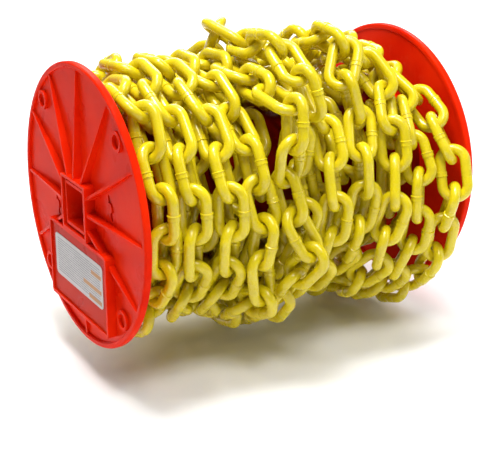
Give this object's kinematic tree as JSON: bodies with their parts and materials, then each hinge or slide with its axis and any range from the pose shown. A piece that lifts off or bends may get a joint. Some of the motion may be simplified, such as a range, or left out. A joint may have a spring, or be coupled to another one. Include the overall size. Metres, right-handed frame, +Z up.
{
  "type": "chain reel",
  "caption": "Horizontal flanged plastic reel with a square arbor, loosely wound with long-link plastic-coated welded chain whose free end lies on top.",
  "frame": {"origin": "middle of the reel's axis, half way between the flanges", "axes": "+X along the axis towards the flange without a sticker, +Z up, -Y towards the side the picture is taken from"},
  "size_m": [0.305, 0.2616, 0.2626],
  "materials": {
    "reel_plastic": "glossy orange-red moulded plastic",
    "drum_plastic": "the same orange-red plastic, seen only through gaps",
    "label": "pale grey sticker with faint print",
    "coated_chain": "steel chain in a glossy lemon-yellow polymer coat"
  },
  "bodies": {
    "reel": {"left_flange": "reel_plastic", "right_flange": "reel_plastic", "drum": "drum_plastic", "label": "label", "chain_01": "coated_chain", "chain_02": "coated_chain", "chain_03": "coated_chain", "chain_04": "coated_chain", "chain_05": "coated_chain", "chain_06": "coated_chain", "chain_07": "coated_chain", "chain_08": "coated_chain", "chain_09": "coated_chain", "chain_10": "coated_chain", "chain_11": "coated_chain", "chain_12": "coated_chain", "chain_13": "coated_chain", "chain_14": "coated_chain", "chain_15": "coated_chain", "chain_16": "coated_chain", "chain_17": "coated_chain", "chain_18": "coated_chain", "chain_19": "coated_chain", "chain_20": "coated_chain", "chain_21": "coated_chain", "chain_22": "coated_chain"},
    "end_link_1": {"end_link_1": "coated_chain"},
    "end_link_2": {"end_link_2": "coated_chain"},
    "end_link_3": {"end_link_3": "coated_chain"}
  },
  "joints": [
    {"name": "end_link_1_lift", "type": "hinge", "parent": "reel", "child": "end_link_1", "pos_m": [-0.005, -0.02883, 0.11385], "axis": [-0.866, -0.085, -0.4927], "range_deg": [0, 60]},
    {"name": "end_link_2_lift", "type": "hinge", "parent": "end_link_1", "child": "end_link_2", "pos_m": [-0.005, -0.04736, 0.11705], "axis": [-0.866, -0.085, -0.4927], "range_deg": [0, 60]},
    {"name": "end_link_3_lift", "type": "hinge", "parent": "end_link_2", "child": "end_link_3", "pos_m": [0.00192, -0.08076, 0.09539], "axis": [-0.9613, -0.2104, -0.1781], "range_deg": [0, 60]}
  ]
}
